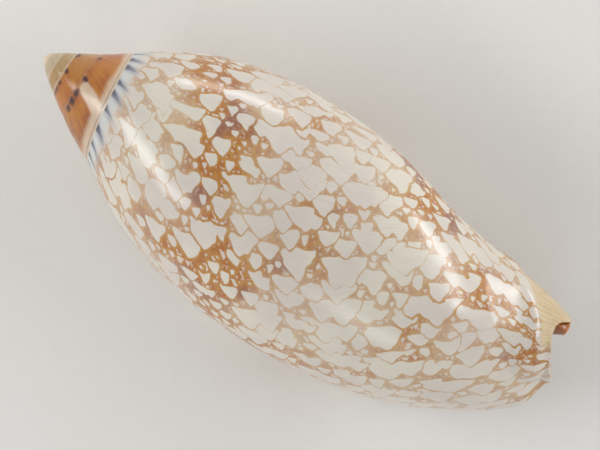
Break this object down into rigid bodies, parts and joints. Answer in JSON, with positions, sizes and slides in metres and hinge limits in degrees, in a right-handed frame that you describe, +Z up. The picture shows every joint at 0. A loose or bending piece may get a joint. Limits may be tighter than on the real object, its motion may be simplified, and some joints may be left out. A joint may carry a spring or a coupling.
{
  "type": "volute shell",
  "caption": "Oval volute shell with a short pointed spire, long open aperture, thin outer lip, folds on the columella and a notch at the front, lying on its aperture.",
  "frame": {"origin": "middle of the shell's box, on the surface it lies on", "axes": "+X from the apex towards the notch at the front end, +Z up from the aperture to the back of the shell"},
  "size_m": [0.1096, 0.0466, 0.0395],
  "materials": {
    "shell": "glossy, cream with orange-brown tent markings"
  },
  "bodies": {
    "root": {"shell": "shell"}
  },
  "joints": []
}
